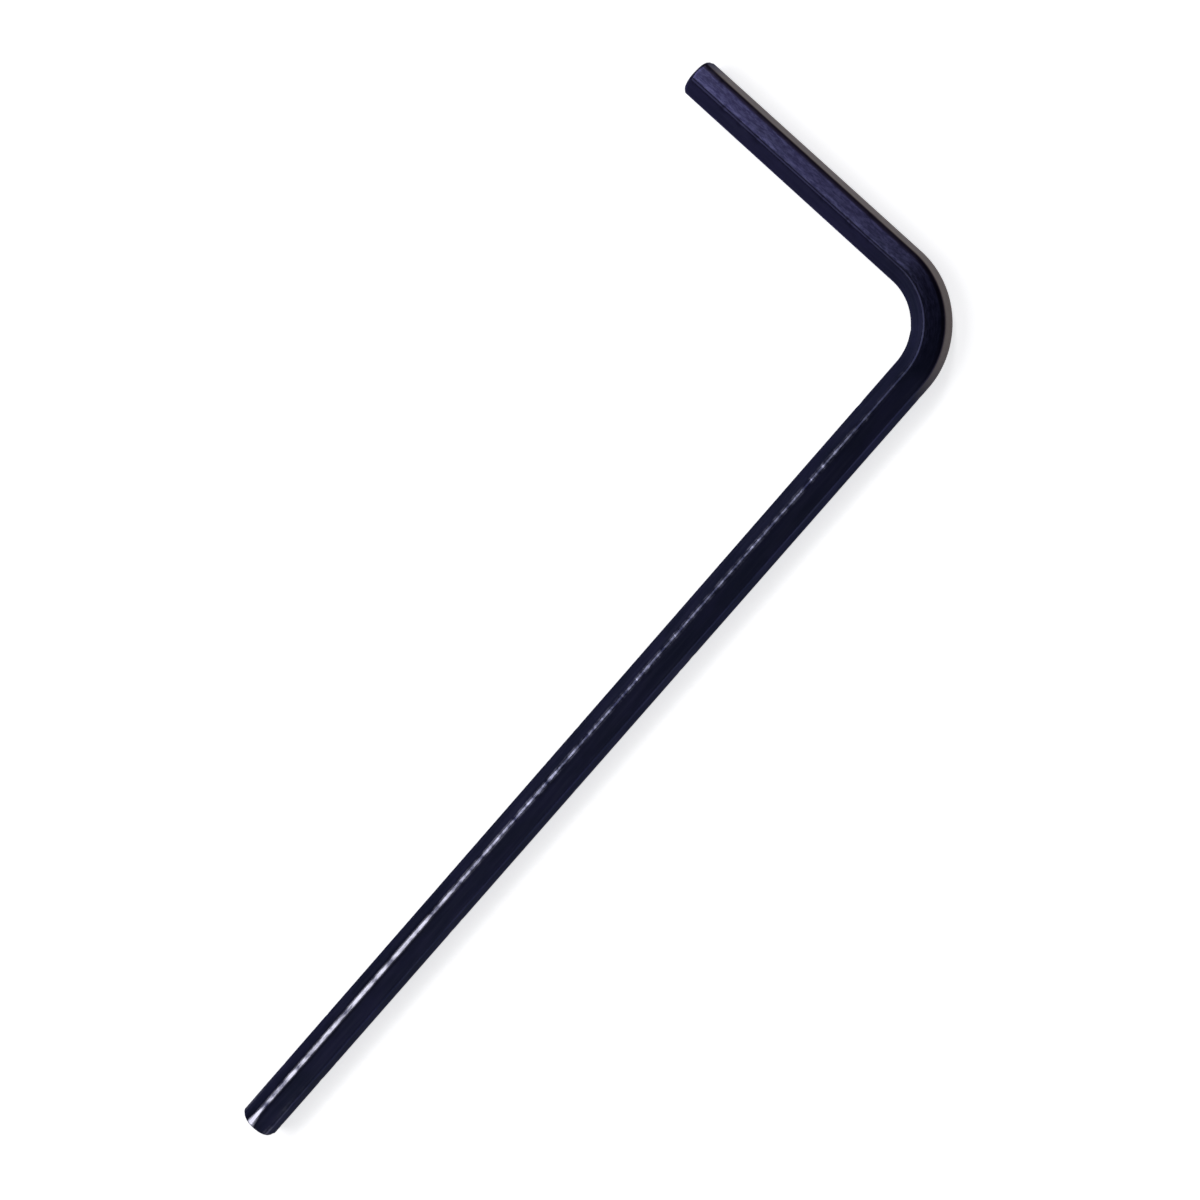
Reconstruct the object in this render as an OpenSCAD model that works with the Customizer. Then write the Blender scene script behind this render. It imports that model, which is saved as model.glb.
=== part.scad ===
// Hex key: a short length of hexagon bar, bent once to a right angle, with both
// cut ends chamfered so that they start easily in a socket.
// The bend lies in the XY plane and the key rests on the bar's lowest corner at z = 0.
// The hexagon stands a little turned in the bend, so its top corner leans to the inside.
// The long arm runs along X with its tip towards -X, the short arm points towards +Y,
// and the origin is at the middle of the footprint.

/* [Bar] */
// Width of the hexagon bar across its flats
across_flats = 1.5; // [0.7:0.05:6]
// Radius of the bar's six long corners, left by drawing
corner_radius = 0.15; // [0.03:0.01:0.3]
// Turn of the hexagon about the bar's own axis, away from a corner straight up
section_turn = 9; // [0:1:25]

/* [Arms] */
// Length of the long arm, from its tip to the outside of the short arm
long_arm = 46.5; // [30:0.5:180]
// Length of the short arm, from its tip to the outside of the long arm
short_arm = 15.5; // [14:0.5:80]

/* [Bend] */
// Radius of the inside of the bend
inner_bend_radius = 2.25; // [0.75:0.05:3.5]

/* [Ends] */
// Depth of the crowned chamfer on each cut end, measured along the bar's corners
end_chamfer = 0.14; // [0.05:0.01:0.6]
// Mean angle of that chamfer from the bar's axis
chamfer_angle = 40; // [20:1:50]

/* [Hidden] */
finish = "#23222f";
sides = 6;
top_corner = 90;
corner_turn = 360 / sides;
bend_angle = 90;
round_fn = 96;
half_flats = across_flats / 2;
half_corners = half_flats / cos(corner_turn / 2);
// Each corner's round meets the flats at a very shallow angle rather than in a smooth blend
blend_angle = 5;
round_to_flat = corner_radius * cos(blend_angle);
// Centre of each corner's round, and how far that round stands out from the bar's axis
round_centre = half_corners - round_to_flat / cos(corner_turn / 2);
tip_reach = 2 * half_corners;
corner_reach = round_centre + corner_radius;
// How far the turned bar reaches from its axis, up and down, and to the sides in the bend's plane
axis_height = round_centre * cos(section_turn) + corner_radius;
side_turn = corner_turn / 2 - section_turn;
side_blend = max(0, blend_angle - section_turn);
side_reach = round_centre * cos(side_turn) + corner_radius * cos(side_blend);
// The bar's axis round the bend, and the straight length of axis left on each arm
axis_radius = inner_bend_radius + side_reach;
long_straight = long_arm - side_reach - axis_radius;
short_straight = short_arm - side_reach - axis_radius;
// How far each flat end face reaches from the bar's axis, inside its chamfer
face_radius = corner_reach - end_chamfer * tan(chamfer_angle);
// The chamfer is part of a sphere: its centre on the bar's axis, seen from the end face, and its radius
crown_centre = (pow(corner_reach, 2) - pow(face_radius, 2) + pow(end_chamfer, 2)) / (2 * end_chamfer);
crown_radius = norm([face_radius, crown_centre]);
// How far the footprint reaches, for the origin at its middle
axis_to_middle_x = long_arm / 2 - side_reach;
axis_to_middle_y = short_arm / 2 - side_reach;

// What drawing takes off one corner: the tip beyond its round, as seen from the round's centre
module corner_tip() {
    difference() {
        polygon([
            [0, 0],
            [tip_reach * cos(-corner_turn / 2), tip_reach * sin(-corner_turn / 2)],
            [tip_reach * cos(corner_turn / 2), tip_reach * sin(corner_turn / 2)]
        ]);
        circle(r = corner_radius, $fn = round_fn);
    }
}

// Section of the drawn bar: a hexagon with every corner rounded, turned from a corner straight up
module bar_section(turn) {
    rotate(top_corner + turn)
        difference() {
            circle(r = half_corners, $fn = sides);
            for (side = [0 : sides - 1])
                rotate(corner_turn * side)
                    translate([round_centre, 0])
                        corner_tip();
        }
}

// Envelope of a chamfered end: a ball that narrows to the end face at z = 0, and clear room beyond it
module end_envelope(straight) {
    translate([0, 0, crown_centre]) {
        sphere(r = crown_radius, $fn = round_fn);
        cylinder(r = (corner_reach + crown_radius) / 2, h = straight, $fn = round_fn);
    }
}

// Straight arm along +Z from its chamfered end at z = 0, with its top corner near +Y
module arm(straight, turn) {
    intersection() {
        linear_extrude(height = straight)
            bar_section(turn);
        end_envelope(straight);
    }
}

// The bend about the Z axis, from the long arm's end at -Y round to the short arm's at +X
module bend() {
    rotate([0, 0, -bend_angle])
        rotate_extrude(angle = bend_angle, $fn = round_fn)
            translate([axis_radius, 0])
                bar_section(section_turn);
}

// The whole key: the bend with an arm seated on each of its ends
module hex_key() {
    color(finish)
        translate([axis_to_middle_x - axis_radius, axis_radius - axis_to_middle_y, axis_height]) {
            bend();
            translate([-long_straight, -axis_radius, 0])
                rotate([90, 0, 90])
                    arm(long_straight, -section_turn);
            translate([axis_radius, short_straight, 0])
                rotate([90, 0, 0])
                    arm(short_straight, section_turn);
        }
}

hex_key();
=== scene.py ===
"""A small hex key on a pale floor: one blackened hexagon bar, bent once, its upper corner worn bright."""
import math
from types import SimpleNamespace
import bpy
import numpy as np
from mathutils import Matrix, Vector


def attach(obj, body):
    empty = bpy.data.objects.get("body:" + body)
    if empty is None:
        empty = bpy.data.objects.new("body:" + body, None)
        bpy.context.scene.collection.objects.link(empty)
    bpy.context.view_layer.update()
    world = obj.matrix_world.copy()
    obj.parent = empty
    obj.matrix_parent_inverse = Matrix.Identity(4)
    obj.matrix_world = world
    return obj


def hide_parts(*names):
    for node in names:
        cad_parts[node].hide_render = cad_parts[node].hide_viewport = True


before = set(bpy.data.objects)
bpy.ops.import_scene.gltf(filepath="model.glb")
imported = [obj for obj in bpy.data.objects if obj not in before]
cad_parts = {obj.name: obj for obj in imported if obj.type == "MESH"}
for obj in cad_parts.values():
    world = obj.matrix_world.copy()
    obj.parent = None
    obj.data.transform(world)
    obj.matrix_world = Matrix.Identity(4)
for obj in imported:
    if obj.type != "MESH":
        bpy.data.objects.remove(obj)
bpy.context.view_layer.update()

MM = 0.001

# Each sine of a ripple is this much shorter and weaker than the one before it
WAVE_SHORTER = 1.73
WAVE_WEAKER = 0.8

# The bar and its bend, in millimetres and degrees
ACROSS_FLATS = 1.5
CORNER_RADIUS = 0.15
LONG_ARM = 46.5
SHORT_ARM = 15.5
INNER_BEND_RADIUS = 2.25
END_CHAMFER = 0.14
CHAMFER_ANGLE = 40.0
SECTION_TURN = 9.0
# Each corner's arc stops this far short of turning into its flats
BLEND_ANGLE = 5.0

# The section, with its corners counted round from the top one
SIDES = 6
TOP_CORNER = 0
CORNER_TURN = 360.0 / SIDES
HALF_FLATS = ACROSS_FLATS / 2
HALF_CORNERS = HALF_FLATS / math.cos(math.radians(CORNER_TURN / 2))
ROUND_TO_FLAT = CORNER_RADIUS * math.cos(math.radians(BLEND_ANGLE))
ROUND_CENTRE = HALF_CORNERS - ROUND_TO_FLAT / math.cos(math.radians(CORNER_TURN / 2))
CORNER_REACH = ROUND_CENTRE + CORNER_RADIUS
SIDE_REACH = ROUND_CENTRE * math.cos(math.radians(CORNER_TURN / 2 - SECTION_TURN)) + CORNER_RADIUS

# The bar's axis: the long arm, a quarter circle and the short arm
AXIS_HEIGHT = ROUND_CENTRE * math.cos(math.radians(SECTION_TURN)) + CORNER_RADIUS
AXIS_RADIUS = INNER_BEND_RADIUS + SIDE_REACH
LONG_STRAIGHT = LONG_ARM - SIDE_REACH - AXIS_RADIUS
SHORT_STRAIGHT = SHORT_ARM - SIDE_REACH - AXIS_RADIUS
BEND_LENGTH = AXIS_RADIUS * math.pi / 2
BAR_LENGTH = LONG_STRAIGHT + BEND_LENGTH + SHORT_STRAIGHT
BEND_CENTRE = (LONG_ARM / 2 - SIDE_REACH - AXIS_RADIUS, AXIS_RADIUS - SHORT_ARM / 2 + SIDE_REACH)

# The ball that crowns each tip, centred on the axis
FACE_RADIUS = CORNER_REACH - END_CHAMFER * math.tan(math.radians(CHAMFER_ANGLE))
CROWN_CENTRE = (CORNER_REACH ** 2 - FACE_RADIUS ** 2 + END_CHAMFER ** 2) / (2 * END_CHAMFER)
CROWN_RADIUS = math.hypot(FACE_RADIUS, CROWN_CENTRE)

# How finely the surface is drawn: points along each corner and flat, and steps along the bar
ARC_POINTS = 11
FLAT_POINTS = np.array([0.03, 0.3, 0.7, 0.97])
TIP_LENGTH = 1.0
FINE_TIP_LENGTH = 0.30
FINE_TIP_STEP = 0.01
TIP_STEP = 0.025
MIDDLE_STATIONS = 870
FACE_RINGS = np.array([0.985, 0.96, 0.92, 0.85, 0.75, 0.62, 0.48, 0.34, 0.2, 0.09])

# Wear and forming: depths and lengths in millimetres, and how many nicks there are
RUB_DEPTH = 0.012
RUB_SPACING = 2.6
# Each corner reads the uneven wear this much further along than the corner before it
RUB_SHIFT = 7.7
NICKS = 70
NICK_SEED = 23
NICKED_STRETCH = 30.0
NICK_LENGTHS = (0.05, 0.16)
NICK_DEPTHS = (0.004, 0.016)
FLAT_HOLLOW = 0.003
HOLLOW_PLACE = 0.45
HOLLOW_HALF_WIDTH = 0.35
BEND_DRAW = 0.012
UNDERSIZE = 0.002
CROWN_SOFTNESS = 0.012

# The land worn on the top corner: how deep it lies and how crowned it is, and its slant at the long tip
LAND_START = 0.004
LAND_DEPTH = 0.038
LAND_CROWN_RADIUS = 0.65
CREST_HALF_WIDTH = 0.3
SLANT_DEPTH = 0.085
SLANT_RISE = 0.075
SLANT_CROWN_RADIUS = 1.5
SLANT_MARK_DEPTH = 0.004
SLANT_MARK_SPACING = 0.4
SLANT_SOFTNESS = 0.010
LAND_SOFTNESS = 0.006

# The end faces: how far they lie inside the solid's, and the marks that cutting leaves across them
FACE_DEPTH = 0.004
MARK_DEPTH = 0.005
MARK_SPACING = 0.32
ACROSS_MARKS = (0.8, 0.6)

# Colours of the finish, and of the light and shade painted on it
BLUE_BLACK = (0.0178, 0.0206, 0.045, 1.0)
# Partly the oxide's violet tint, partly a painted sheen on the short arm
VIOLET_AND_SHEEN_BLACK = (0.0345, 0.0325, 0.088, 1.0)
STREAK_BLUE = (0.050, 0.052, 0.092, 1.0)
# Painted shade
PAINTED_SHADE_VIOLET = (0.016, 0.014, 0.038, 1.0)
# Painted sheen
PAINTED_SHEEN_VIOLET = (0.082, 0.081, 0.175, 1.0)
# Painted shade
RIDGE_PAINTED_SHADE = (0.015, 0.015, 0.032, 1.0)
# Painted shade
CORNER_PAINTED_SHADE = (0.011, 0.008, 0.016, 1.0)
CUT_GREY = (0.085, 0.085, 0.110, 1.0)
DULL_STEEL = (0.38, 0.38, 0.46, 1.0)
BRIGHT_STEEL = (0.53, 0.52, 0.62, 1.0)
BLUISH_STEEL = (0.41, 0.42, 0.61, 1.0)
# A brown-grey of painted shadow and painted warm reflection
SHADOW_AND_REFLECTION_BROWN = (0.082, 0.051, 0.041, 1.0)
STEEL_TINT = (0.40, 0.40, 0.38, 1.0)

# How bare the top corner is worn, at shares of the bar's length from the long tip
TOP_CORNER_WEAR = [
    (0.0, 0.44), (0.04, 0.30), (0.08, 0.80), (0.13, 0.72), (0.17, 0.60), (0.21, 0.38), (0.25, 0.52),
    (0.30, 0.44), (0.38, 0.25), (0.50, 0.22), (0.64, 0.24), (0.72, 0.06), (1.0, 0.0),
]
# Depths from a tip between which the finish turns to that of the cut face, and the bump's height
FACE_STARTS = 0.05
FACE_FULL = 0.02
BUMP_HEIGHT = 0.006

# The floor's half side, in metres, and how much it glows by itself
FLOOR_HALF = 8.0
FLOOR_GREY = (0.90, 0.90, 0.90, 1.0)
FLOOR_GLOW = 0.70

# The studio, in metres, and the light of the room round it
LAMP_DISTANCE = 3.0
ROOM_LIGHT = (0.10, 0.105, 0.125, 1.0)

# The photograph's viewpoint, fitted to its outline: directions, and a place in millimetres
VIEW_RIGHT = (0.6338, -0.7083, -0.3109)
VIEW_BACK = (0.2442, -0.1982, 0.9493)
VIEW_PLACE = (38.13, -31.13, 134.00)
SENSOR_WIDTH = 36.0
FOCAL_LENGTH = 102.53


def smooth_step(start, end, value):
    """0 up to start, 1 from end on and 3t^2 - 2t^3 between them; start may be the greater of the two."""
    t = np.clip((value - start) / (end - start), 0.0, 1.0)
    return t * t * (3.0 - 2.0 * t)


def softer_least(first, second, width):
    """The smaller of two values, with the crossing rounded over the given width."""
    gap = first - second
    return (first + second - np.sqrt(gap * gap + width * width)) / 2.0


def ripple(place, seed, longest, waves):
    """Uneven height from -1 to 1: a sum of sines with seeded phases, each shorter and weaker in turn."""
    chance = np.random.default_rng(seed)
    height = np.zeros_like(place)
    weight = 0.0
    for wave in range(waves):
        length = longest / WAVE_SHORTER ** wave
        share = WAVE_WEAKER ** wave
        height += share * np.sin(2.0 * np.pi * place / length + chance.uniform(0.0, 2.0 * np.pi))
        weight += share
    return height / weight


def section_points():
    """The bar's outline, one row per point: outward place, height, distance from a corner, that corner.

    Each corner is an arc of CORNER_RADIUS about ROUND_CENTRE, BLEND_ANGLE short of its flats at both ends,
    and each flat is a straight run between two arcs, with points close to both of its ends.
    """
    half_arc = CORNER_TURN / 2 - BLEND_ANGLE
    arc = np.radians(np.linspace(-half_arc, half_arc, ARC_POINTS))
    rows = []
    for corner in range(SIDES):
        facing = math.radians(90.0 + SECTION_TURN + CORNER_TURN * corner)
        following = facing + math.radians(CORNER_TURN)
        angle = facing + arc
        out = ROUND_CENTRE * math.cos(facing) + CORNER_RADIUS * np.cos(angle)
        up = ROUND_CENTRE * math.sin(facing) + CORNER_RADIUS * np.sin(angle)
        gap = CORNER_RADIUS * np.abs(arc)
        rows.append(np.stack([out, up, gap, np.full_like(out, corner)], axis=1))
        start = rows[-1][-1, :2]
        end = np.array([
            ROUND_CENTRE * math.cos(following) + CORNER_RADIUS * math.cos(following + arc[0]),
            ROUND_CENTRE * math.sin(following) + CORNER_RADIUS * math.sin(following + arc[0]),
        ])
        flat = start + (end - start) * FLAT_POINTS[:, None]
        width = np.linalg.norm(end - start)
        gap = CORNER_RADIUS * abs(arc[0]) + width * np.minimum(FLAT_POINTS, 1.0 - FLAT_POINTS)
        nearest = np.where(FLAT_POINTS < 0.5, corner, (corner + 1) % SIDES)
        rows.append(np.stack([flat[:, 0], flat[:, 1], gap, nearest], axis=1))
    return np.concatenate(rows)


def stations():
    """Distances along the bar's axis from the long tip, close together at both tips."""
    tip = np.concatenate([
        np.arange(0.0, FINE_TIP_LENGTH, FINE_TIP_STEP),
        np.arange(FINE_TIP_LENGTH, TIP_LENGTH, TIP_STEP),
    ])
    middle = np.linspace(TIP_LENGTH, BAR_LENGTH - TIP_LENGTH, MIDDLE_STATIONS)
    return np.concatenate([tip, middle, (BAR_LENGTH - tip)[::-1]])


def carried(along, out, up):
    """Points of the bar in the key's frame: the section carried along line, arc and line.

    The axis runs along +X, turns through a quarter circle of AXIS_RADIUS about BEND_CENTRE and runs on
    along +Y; out is measured away from the bend's centre and up is height above the axis.
    """
    turned = np.clip((along - LONG_STRAIGHT) / BEND_LENGTH, 0.0, 1.0) * (math.pi / 2)
    before = np.minimum(along - LONG_STRAIGHT, 0.0)
    after = np.maximum(along - LONG_STRAIGHT - BEND_LENGTH, 0.0)
    reach = AXIS_RADIUS + out
    x = BEND_CENTRE[0] + before + reach * np.sin(turned)
    y = BEND_CENTRE[1] + after - reach * np.cos(turned)
    return np.stack([x, y, AXIS_HEIGHT + up], axis=-1)


def corner_wear(along, corner):
    """How worn each corner is along the bar, from 0 to 1: most on the top corner by the long tip."""
    near_long_tip = 1.0 - smooth_step(9.0, 19.0, along)
    near_bend = smooth_step(38.0, 43.0, along)
    at_long_tip = 1.0 - smooth_step(0.5, 5.0, along)
    at_short_tip = smooth_step(BAR_LENGTH - 4.0, BAR_LENGTH - 0.2, along)
    top = (0.30 + 0.70 * near_long_tip) * (1.0 - 0.8 * near_bend)
    other = 0.10 + 0.30 * at_long_tip
    return np.maximum(np.where(corner == TOP_CORNER, top, other), 0.35 * at_short_tip)


def rubbed_in(along, out, gap, corner, worn, uneven):
    """How far each point of the bar moves in towards the axis.

    Corners are rubbed down by their wear times an uneven share, small bell-shaped nicks are pressed into
    them, each flat is hollowed by a parabola, the outside of the bend is drawn in by the squared sine of
    the way round it, and the whole bar is a hair undersize.
    """
    on_corner = 1.0 - smooth_step(0.02, 0.11, gap)
    inset = RUB_DEPTH * on_corner * worn * uneven
    chance = np.random.default_rng(NICK_SEED)
    for nick in range(NICKS):
        if nick % 2:
            place = chance.uniform(0.0, BAR_LENGTH)
        else:
            place = chance.uniform(0.0, 1.0) ** 2 * NICKED_STRETCH
        nicked = chance.integers(0, SIDES) if nick % 3 else TOP_CORNER
        length = chance.uniform(*NICK_LENGTHS)
        depth = chance.uniform(*NICK_DEPTHS)
        spread = np.exp(-((along - place) / length) ** 2)
        inset += depth * spread * on_corner * (corner == nicked)
    inset += FLAT_HOLLOW * np.clip(1.0 - ((gap - HOLLOW_PLACE) / HOLLOW_HALF_WIDTH) ** 2, 0.0, 1.0)
    turned = np.clip((along - LONG_STRAIGHT) / BEND_LENGTH, 0.0, 1.0)
    inset += BEND_DRAW * np.sin(np.pi * turned) ** 2 * smooth_step(0.3, 0.7, out / HALF_FLATS)
    return inset + UNDERSIZE


def land_worn(along, out, up, worn, uneven):
    """The section's points with the top corner rubbed down to a narrow land.

    Heights are taken in the top corner's own direction. Points there sink to the softer least of two
    crowned planes: the land, deeper by the square of the wear, and a slant that rises from the long tip.
    """
    lean = math.radians(SECTION_TURN)
    stand = up * math.cos(lean) - out * math.sin(lean)
    across = out * math.cos(lean) + up * math.sin(lean)
    crest = CORNER_REACH - np.minimum(across ** 2, CREST_HALF_WIDTH ** 2) / (2 * LAND_CROWN_RADIUS)
    land = crest - LAND_START - LAND_DEPTH * worn ** 2 * (0.45 + 0.55 * uneven)
    marks = SLANT_MARK_DEPTH * ripple(out, seed=5, longest=SLANT_MARK_SPACING, waves=4)
    crest = CORNER_REACH - across ** 2 / (2 * SLANT_CROWN_RADIUS)
    slant = crest - SLANT_DEPTH + SLANT_RISE * along + marks
    rubbed = softer_least(land, slant, SLANT_SOFTNESS)
    cut = np.where(stand > 0.0, stand - softer_least(stand, rubbed, LAND_SOFTNESS), 0.0)
    return out + cut * math.sin(lean), up - cut * math.cos(lean)


def bar_grid():
    """The bar's surface before its ends are closed, as arrays of (station, point round the bar).

    At each station the section is drawn in by its wear, then scaled towards the axis where it would stand
    outside the ball that crowns the nearer tip, and last its top corner is rubbed down to a land.
    """
    section = section_points().T[:, None, :]
    along, out, up, gap, corner = np.broadcast_arrays(stations()[:, None], *section)
    worn = corner_wear(along, corner)
    uneven = 0.5 + 0.5 * ripple(along + RUB_SHIFT * corner, seed=11, longest=RUB_SPACING, waves=8)
    inset = rubbed_in(along, out, gap, corner, worn, uneven)
    from_end = np.minimum(along, BAR_LENGTH - along)
    crown = np.sqrt(CROWN_RADIUS ** 2 - np.clip(CROWN_CENTRE - from_end, 0.0, None) ** 2)
    reach = np.hypot(out, up)
    kept = softer_least(reach - inset, crown, CROWN_SOFTNESS) / reach
    out, up = land_worn(along, out * kept, up * kept, worn, uneven)
    return along, out, up, gap


def end_rings(along, out, up, gap, inwards):
    """The flat end face: a ring of the bar drawn in to the axis, with the low parallel marks of cutting."""
    shrink = FACE_RINGS[:, None]
    ring_out = out[None, :] * shrink
    ring_up = up[None, :] * shrink
    across = ring_out * ACROSS_MARKS[0] + ring_up * ACROSS_MARKS[1]
    marks = 0.5 + 0.5 * ripple(across, seed=31, longest=MARK_SPACING, waves=5)
    depth = FACE_DEPTH + MARK_DEPTH * marks
    ring_along = along[None, :] + inwards * depth * smooth_step(1.0, 0.95, shrink)
    ring_gap = gap[None, :] + (1.0 - shrink)
    return ring_along, ring_out, ring_up, ring_gap


def bar_faces(rows, around):
    """Faces of the closed bar: quads between neighbours on two rows, and a fan round each end's pole."""
    row, turn = np.meshgrid(np.arange(rows - 1), np.arange(around), indexing="ij")
    after = (turn + 1) % around
    quads = np.stack([
        row * around + turn,
        row * around + after,
        (row + 1) * around + after,
        (row + 1) * around + turn,
    ], axis=-1).reshape(-1, 4)
    turn = turn[0]
    after = after[0]
    last_row = (rows - 1) * around
    pole = np.full(around, rows * around)
    first_fan = np.stack([pole, after, turn], axis=-1)
    last_fan = np.stack([pole + 1, last_row + turn, last_row + after], axis=-1)
    return quads.tolist() + first_fan.tolist() + last_fan.tolist()


def put_in_scene(name, content):
    """A new object in the scene that shows a mesh, a lamp or a camera."""
    holder = bpy.data.objects.new(name, content)
    bpy.context.scene.collection.objects.link(holder)
    return holder


def make_bar():
    """The whole key as one closed surface: the carried section, with end rings and a pole at each end.

    Each point keeps its place on the straightened bar and its distance from a corner, for the finish.
    """
    body = bar_grid()
    first = [grid[0] for grid in body]
    last = [grid[-1] for grid in body]
    opening = [rings[::-1] for rings in end_rings(*first, 1.0)]
    closing = end_rings(*last, -1.0)
    along, out, up, gap = (np.concatenate(group) for group in zip(opening, body, closing))
    rows, around = along.shape
    along = np.append(along, [along[0].mean(), along[-1].mean()])
    out = np.append(out, [0.0, 0.0])
    up = np.append(up, [0.0, 0.0])
    gap = np.append(gap, [1.0, 1.0])

    mesh = bpy.data.meshes.new("hex_key_bar")
    mesh.from_pydata((carried(along, out, up) * MM).tolist(), [], bar_faces(rows, around))
    mesh.polygons.foreach_set("use_smooth", np.ones(len(mesh.polygons), dtype=bool))
    layer = mesh.attributes.new("bar", "FLOAT_VECTOR", "POINT")
    layer.data.foreach_set("vector", np.stack([along, out, up], axis=-1).astype(np.float32).ravel())
    layer = mesh.attributes.new("corner_gap", "FLOAT", "POINT")
    layer.data.foreach_set("value", gap.astype(np.float32))
    mesh.update()
    return put_in_scene("hex_key_bar", mesh)


class Shade:
    """One socket of a node tree; sums, differences and products of values add Math nodes."""

    # The Mix node's sockets for colours, among those for its other kinds of data
    FIRST_COLOUR = 6
    SECOND_COLOUR = 7
    MIXED_COLOUR = 2

    def __init__(self, tree, socket=None):
        self.tree = tree
        self.socket = socket

    def node(self, kind, settings=None, inputs=None, output=0):
        """Add a node of a kind, set its settings, then fill or link its sockets, and give one output."""
        made = self.tree.nodes.new(kind)
        for name, setting in (settings or {}).items():
            if name == "stops":
                ends = made.color_ramp.elements
                ends[0].position, ends[0].color = setting[0]
                ends[1].position, ends[1].color = setting[-1]
                for place, colour in setting[1:-1]:
                    ends.new(place).color = colour
            else:
                setattr(made, name, setting)
        for name, value in (inputs or {}).items():
            if isinstance(value, Shade):
                self.tree.links.new(value.socket, made.inputs[name])
            else:
                made.inputs[name].default_value = value
        return Shade(self.tree, made.outputs[output] if made.outputs else None)

    def other(self, output):
        """Another output of the same node."""
        return Shade(self.tree, self.socket.node.outputs[output])

    def maths(self, operation, first, second):
        """A Math node on two values."""
        return self.node("ShaderNodeMath", {"operation": operation}, {0: first, 1: second})

    def __add__(self, other):
        return self.maths("ADD", self, other)

    def __radd__(self, other):
        return self.maths("ADD", other, self)

    def __sub__(self, other):
        return self.maths("SUBTRACT", self, other)

    def __rsub__(self, other):
        return self.maths("SUBTRACT", other, self)

    def __mul__(self, other):
        return self.maths("MULTIPLY", self, other)

    def __rmul__(self, other):
        return self.maths("MULTIPLY", other, self)

    def at_least(self, other):
        """The greater of this value and another."""
        return self.maths("MAXIMUM", self, other)

    def step(self, start, end):
        """0 up to start, 1 from end on and smooth between them; start may be the greater of the two."""
        settings = {"interpolation_type": "SMOOTHSTEP"}
        inputs = {"Value": self, "From Min": start, "From Max": end, "To Min": 0.0, "To Max": 1.0}
        return self.node("ShaderNodeMapRange", settings, inputs)

    def ramp(self, stops):
        """A value read from a ramp of (place, value) stops."""
        greys = [(place, (value, value, value, 1.0)) for place, value in stops]
        return self.node("ShaderNodeValToRGB", {"stops": greys}, {"Fac": self})

    def scaled(self, x, y, z):
        """A vector times three numbers."""
        return self.node("ShaderNodeVectorMath", {"operation": "MULTIPLY"}, {0: self, 1: (x, y, z)})

    def noise(self, detail, roughness):
        """Even noise from 0 to 1, read at this vector."""
        inputs = {"Vector": self, "Scale": 1.0, "Detail": detail, "Roughness": roughness}
        return self.node("ShaderNodeTexNoise", {}, inputs)

    def mixed(self, first, second):
        """The first colour where this value is 0 and the second where it is 1."""
        settings = {"data_type": "RGBA", "clamp_factor": True}
        inputs = {0: self, self.FIRST_COLOUR: first, self.SECOND_COLOUR: second}
        return self.node("ShaderNodeMix", settings, inputs, self.MIXED_COLOUR)


def new_finish(name):
    """An empty material and the wrapper that adds its nodes."""
    finish = bpy.data.materials.new(name)
    finish.use_nodes = True
    finish.node_tree.nodes.clear()
    return finish, Shade(finish.node_tree)


def bar_patterns(start):
    """Places on the straightened bar, in millimetres, and the noise that more than one look shares.

    Every pattern is drawn out along the bar: slow mottling, streaks, fine drawing lines, grain, scratches.
    """
    place = start.node("ShaderNodeAttribute", {"attribute_name": "bar"}, {}, "Vector")
    along = start.node("ShaderNodeSeparateXYZ", {}, {0: place})
    return SimpleNamespace(
        place=place,
        along=along,
        out=along.other("Y"),
        up=along.other("Z"),
        gap=start.node("ShaderNodeAttribute", {"attribute_name": "corner_gap"}, {}, "Fac"),
        mottle=place.scaled(0.45, 1.3, 1.3).noise(5.0, 0.6),
        streaks=place.scaled(0.35, 7.0, 7.0).noise(4.0, 0.55),
        lines=place.scaled(0.12, 26.0, 26.0).noise(3.0, 0.6),
        grain=place.scaled(6.0, 14.0, 14.0).noise(4.0, 0.6),
        scratches=place.scaled(3.4, 12.0, 12.0).noise(4.0, 0.65),
    )


def worn_bright(here, finer):
    """How bare the steel is, from 0 to 1: set along each corner, and made uneven by noise where it is high.

    The noise breaks the wear into long glints by the long tip and, as finer goes to 1, into small specks.
    Wear ends close beside each corner, and closest on the outer side of the top one. On the top corner it
    widens to a small triangle at the long tip.
    """
    # The top corner stands 0.83 mm above the axis, and the next ones 0.53 mm or less
    top = here.up.step(0.60, 0.72)
    top_wear = (here.along * (1.0 / BAR_LENGTH)).ramp(TOP_CORNER_WEAR)
    other_wear = here.along.step(4.0, 0.0) * 0.14 + here.along.step(BAR_LENGTH - 1.5, BAR_LENGTH) * 0.08
    reach = top * top_wear + (1.0 - top) * other_wear
    glints = here.place.scaled(1.1, 0.8, 0.8).noise(3.0, 0.6) - 0.5
    specks = here.place.scaled(2.8, 1.0, 1.0).noise(3.0, 0.6)
    broken = glints * (2.4 - finer * 1.6) + (specks - 0.5) * (finer * 1.8) + (here.scratches - 0.5) * 1.1
    bare = reach + broken * (reach.step(0.02, 0.40) * 0.88 + 0.12)
    bare = bare + specks.step(0.62, 0.70) * finer * here.along.step(44.0, 38.0) * top * 0.35
    near = here.gap.step(0.20, 0.11) * (1.0 - top * here.out.step(-0.06, 0.02))
    wear = bare.step(0.0, 1.0) * near * 0.95
    tip_wear = (here.gap + here.along * 0.22 + here.scratches * 0.10).step(0.34, 0.24)
    return wear.at_least(tip_wear * here.up.step(0.62, 0.72))


def outer_shadow_and_reflection(here):
    """Painted shadow and reflection on the outer side of the bend and of the short arm, from 0 to 1, slowly
    mottled.
    """
    from_bend = here.along.step(LONG_STRAIGHT - 1.0, LONG_STRAIGHT + 2.0)
    to_tip = here.along.step(BAR_LENGTH, BAR_LENGTH - 1.2)
    return here.out.step(0.63, 0.71) * (from_bend * to_tip) * (0.60 + here.mottle * 0.38)


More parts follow.
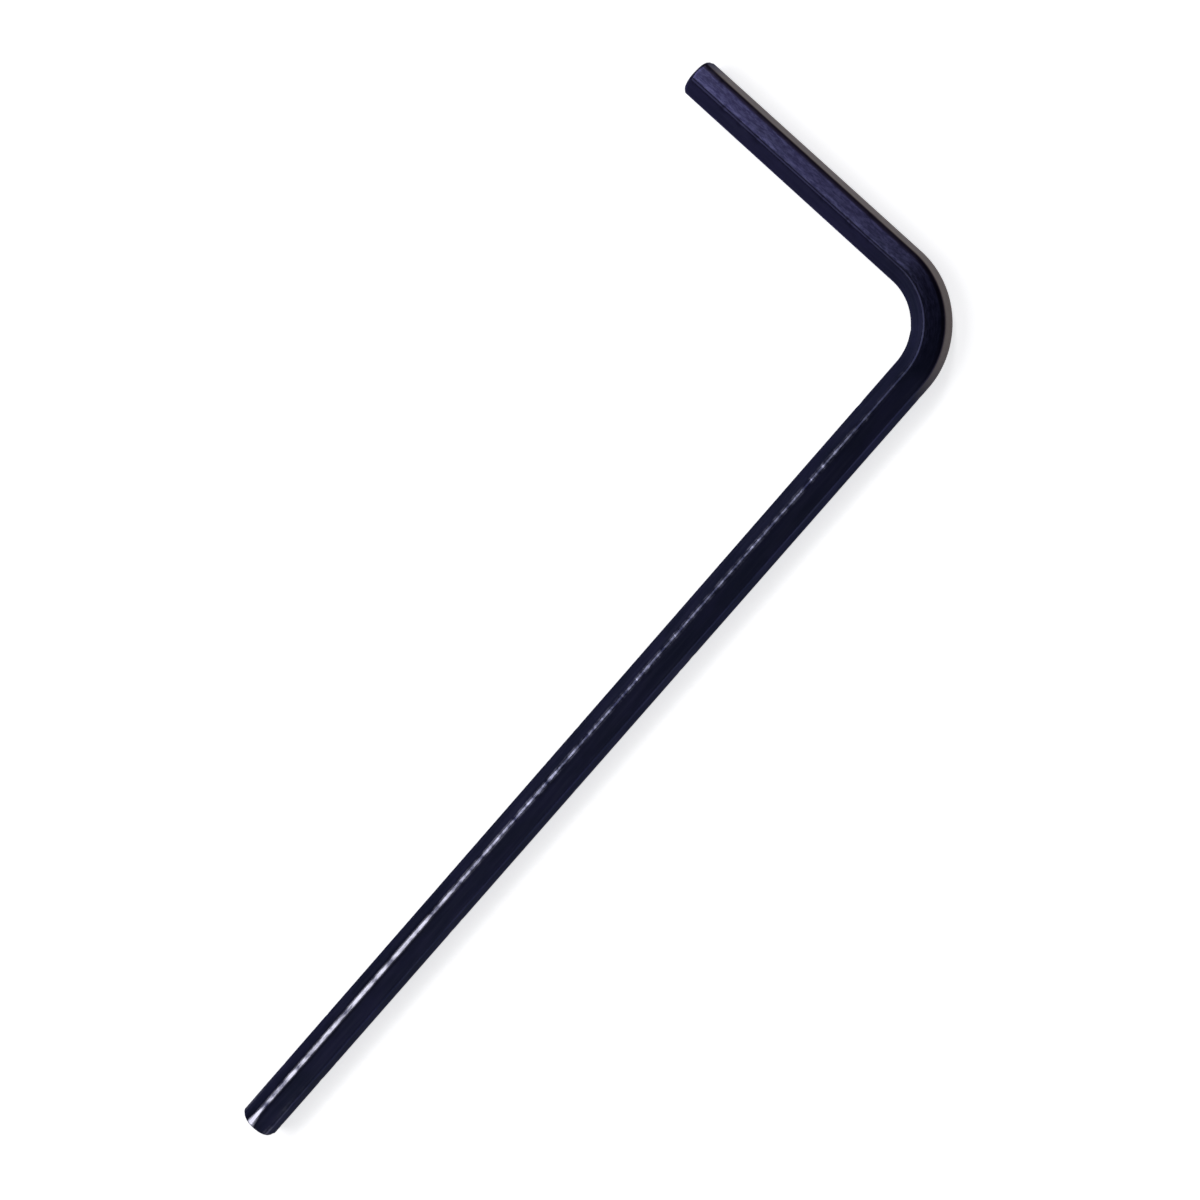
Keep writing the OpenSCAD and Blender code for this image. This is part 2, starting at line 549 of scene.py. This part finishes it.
def oxide_colour(here, cut_ends):
    """Blue-black with paler streaks, turning violet along the short arm with painted sheen and shade, grey
    on the cut ends.

    On the short arm the upper outer side has a streaked painted sheen beside the top corner and painted
    shade further out, and the corners on both sides of it carry the darkest painted shade.
    """
    # Random tone, and along the short arm a lighter violet that is partly the oxide's tint and partly a
    # painted sheen
    violet_and_sheen = here.mottle.step(0.35, 0.7) * 0.4 + here.along.step(44.5, 51.0) * 0.7
    colour = violet_and_sheen.mixed(BLUE_BLACK, VIOLET_AND_SHEEN_BLACK)
    colour = (here.streaks.step(0.40, 0.75) * 0.30).mixed(colour, STREAK_BLUE)

    past_bend = here.along.step(42.0, 46.0)
    upper = here.up.step(0.55, 0.66) * past_bend
    # Painted sheen: a streaked lighter violet band beside the short arm's top corner
    painted_sheen = here.gap.step(0.42, 0.12) * here.out.step(-0.11, -0.02) * upper
    # Painted shade: the short arm's upper outer side darker further out
    colour = (here.out.step(0.0, 0.22) * upper * 0.40).mixed(colour, PAINTED_SHADE_VIOLET)
    colour = (painted_sheen * here.scratches.step(0.36, 0.66)).mixed(colour, PAINTED_SHEEN_VIOLET)
    # Painted shade darkening the short arm's top corner
    colour = (here.gap.step(0.11, 0.05) * upper * 0.75).mixed(colour, RIDGE_PAINTED_SHADE)
    # Painted shade on the short arm's upper outer corner, the darkest of all
    outer_corner_shade = here.gap.step(0.24, 0.11) * here.out.step(0.42, 0.52) * here.up.step(0.36, 0.44)
    colour = (outer_corner_shade * past_bend * 0.90).mixed(colour, CORNER_PAINTED_SHADE)
    return (cut_ends * 0.6).mixed(colour, CUT_GREY)


def blackened_steel():
    """Blue-black oxide on drawn steel, worn bright on its corners, with painted shadow and reflection
    outside, cut at the ends.
    """
    finish, start = new_finish("blackened_steel")
    here = bar_patterns(start)
    long_face = here.along.step(FACE_STARTS, FACE_FULL)
    face = long_face + here.along.step(BAR_LENGTH - FACE_STARTS, BAR_LENGTH - FACE_FULL)
    cut_marks = here.place.scaled(0.0, 1.6, 18.0).noise(4.0, 0.6)
    # Between these distances from the long tip the wear gets finer and the bare steel bluer
    finer = here.along.step(10.0, 22.0)
    # Painted shadow and reflection: a dull brown-grey band on the outside of the bend and short arm, matt
    # and not metallic
    shadow_and_reflection = outer_shadow_and_reflection(here)

    steel = here.streaks.mixed(DULL_STEEL, BRIGHT_STEEL)
    steel = (finer * 0.8).mixed(steel, BLUISH_STEEL)
    oxide = oxide_colour(here, face * cut_marks.step(0.35, 0.70))
    colour = shadow_and_reflection.mixed(worn_bright(here, finer).mixed(oxide, steel), SHADOW_AND_REFLECTION_BROWN)
    height = here.lines * 0.6 + here.grain * 0.4 + here.streaks * 0.6 + face * cut_marks * 2.0
    bump = {"Strength": 0.35, "Distance": BUMP_HEIGHT * MM, "Height": height}
    surface = start.node("ShaderNodeBsdfPrincipled", {}, {
        "Base Color": colour,
        "Metallic": 1.0 - shadow_and_reflection,
        "Roughness": 0.24 + here.mottle * 0.08 + here.grain * 0.06 + shadow_and_reflection * 0.2 + face * 0.10,
        "Specular Tint": STEEL_TINT,
        "Normal": start.node("ShaderNodeBump", {}, bump),
    })
    start.node("ShaderNodeOutputMaterial", {}, {"Surface": surface})
    return finish


def pale_floor():
    """A plain matt floor, far wider than the key, that glows a little by itself."""
    corners = [(-1, -1), (1, -1), (1, 1), (-1, 1)]
    mesh = bpy.data.meshes.new("floor")
    mesh.from_pydata([(x * FLOOR_HALF, y * FLOOR_HALF, 0.0) for x, y in corners], [], [(0, 1, 2, 3)])
    floor = put_in_scene("floor", mesh)
    finish, start = new_finish("pale_floor")
    surface = start.node("ShaderNodeBsdfPrincipled", {}, {
        "Base Color": FLOOR_GREY,
        "Roughness": 0.9,
        "Specular IOR Level": 0.1,
        "Emission Color": (1.0, 1.0, 1.0, 1.0),
        "Emission Strength": FLOOR_GLOW,
    })
    start.node("ShaderNodeOutputMaterial", {}, {"Surface": surface})
    mesh.materials.append(finish)


def softbox(name, towards, width, height, radiance):
    """A rectangular lamp in a direction from the key, facing it, with the given radiance."""
    lamp = bpy.data.lights.new(name, "AREA")
    lamp.shape = "RECTANGLE"
    lamp.size = width
    lamp.size_y = height
    lamp.energy = radiance * math.pi * width * height
    holder = put_in_scene(name, lamp)
    way = Vector(towards).normalized()
    turn = way.to_track_quat("Z", "Y").to_matrix().to_4x4()
    holder.matrix_world = Matrix.Translation(way * LAMP_DISTANCE) @ turn
    holder.visible_camera = False


def studio():
    """Three lamps: wide above the inside of the bend, small beyond the short arm, and dim on the outside."""
    softbox("above_inside", (-0.42, 0.50, 0.76), 2.2, 2.2, 2.3)
    softbox("beyond_short_arm", (0.50, 0.44, 0.72), 0.6, 0.6, 11.2)
    softbox("dim_outside", (-0.48, -0.58, 0.66), 2.0, 1.6, 0.5)
    world = bpy.data.worlds.new("room")
    world.use_nodes = True
    world.node_tree.nodes.clear()
    start = Shade(world.node_tree)
    light = start.node("ShaderNodeBackground", {}, {"Color": ROOM_LIGHT, "Strength": 1.0})
    start.node("ShaderNodeOutputWorld", {}, {"Surface": light})
    bpy.context.scene.world = world


def camera():
    """The photograph's viewpoint: above the key, over the outside of its bend, looking at its middle."""
    right = Vector(VIEW_RIGHT).normalized()
    back = Vector(VIEW_BACK).normalized()
    up = back.cross(right).normalized()
    right = up.cross(back)
    view = bpy.data.cameras.new("camera")
    view.sensor_width = SENSOR_WIDTH
    view.lens = FOCAL_LENGTH
    view.clip_start = 0.002
    view.clip_end = 100.0
    holder = put_in_scene("camera", view)
    turn = Matrix((right, up, back)).transposed().to_4x4()
    holder.matrix_world = Matrix.Translation(Vector(VIEW_PLACE) * MM) @ turn
    bpy.context.scene.camera = holder


bar = make_bar()
bar.data.materials.append(blackened_steel())
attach(bar, "root")
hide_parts("hex_key")
pale_floor()
studio()
camera()
bpy.context.scene.view_settings.view_transform = "Standard"
